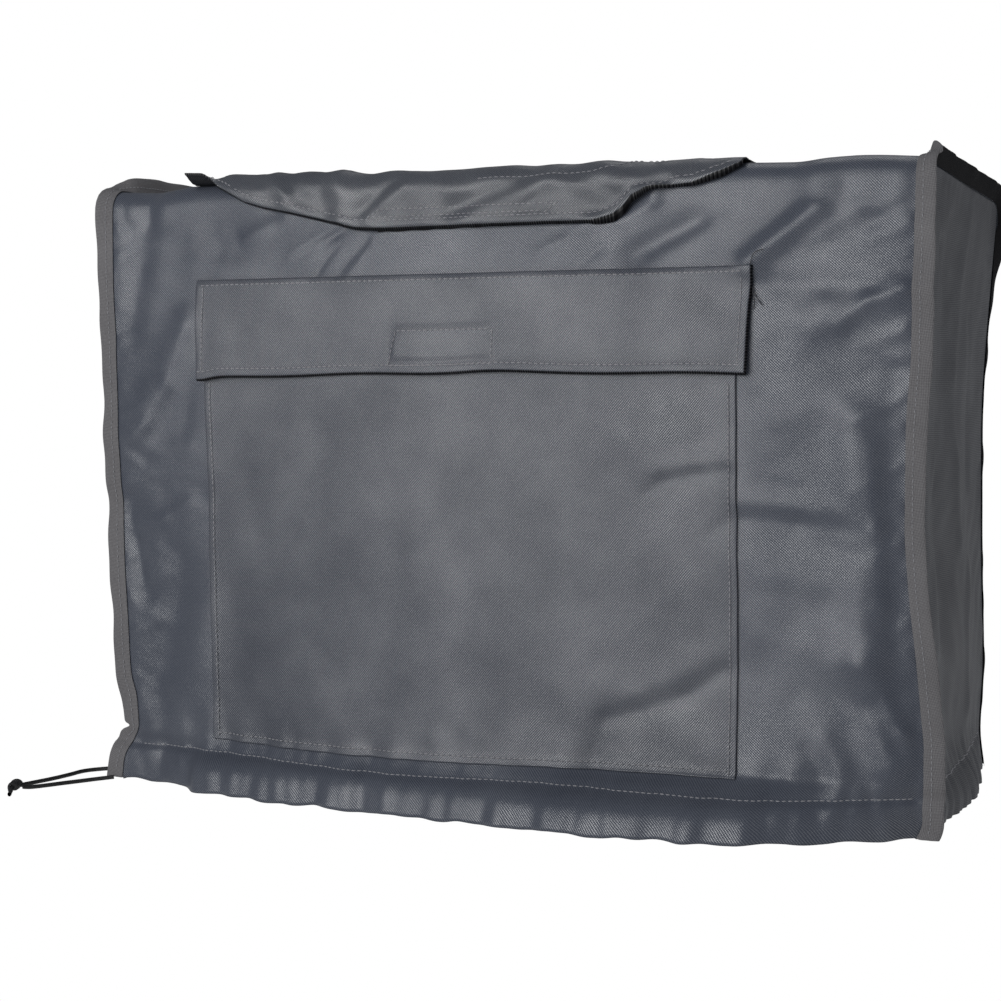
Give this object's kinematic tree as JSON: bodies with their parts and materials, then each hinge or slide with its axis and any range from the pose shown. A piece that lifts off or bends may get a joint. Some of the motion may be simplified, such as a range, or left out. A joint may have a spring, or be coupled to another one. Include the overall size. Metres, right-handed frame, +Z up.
{
  "type": "generator cover",
  "caption": "Fitted cover of coated cloth for a portable generator, open below, with bound side seams, a patch pocket with a flap, a flap over the front top edge and a drawcord hem.",
  "frame": {"origin": "on the ground, under the middle of the cover's outer box", "axes": "+X along the front to the right, +Y from the front to the back, +Z up"},
  "size_m": [0.6574, 0.4305, 0.4508],
  "materials": {
    "coated_cloth": "slate grey woven polyester with a satin coating",
    "side_cloth": "slate grey woven polyester with a satin coating",
    "pocket_cloth": "slate grey twill with a satin coating",
    "flap_cloth": "slate grey woven polyester with a satin coating",
    "binding_tape": "matte woven tape",
    "hook_and_loop": "matte black loop tape",
    "drawcord": "black braided cord"
  },
  "bodies": {
    "root": {"wrap_panel": "coated_cloth", "side_left": "side_cloth", "side_right": "side_cloth", "binding_left": "binding_tape", "binding_right": "binding_tape", "pocket_panel": "pocket_cloth", "pocket_flap": "pocket_cloth", "top_flap": "flap_cloth", "top_tape": "hook_and_loop", "cord_upper": "drawcord", "cord_lower": "drawcord", "cord_knot": "drawcord"}
  },
  "joints": []
}
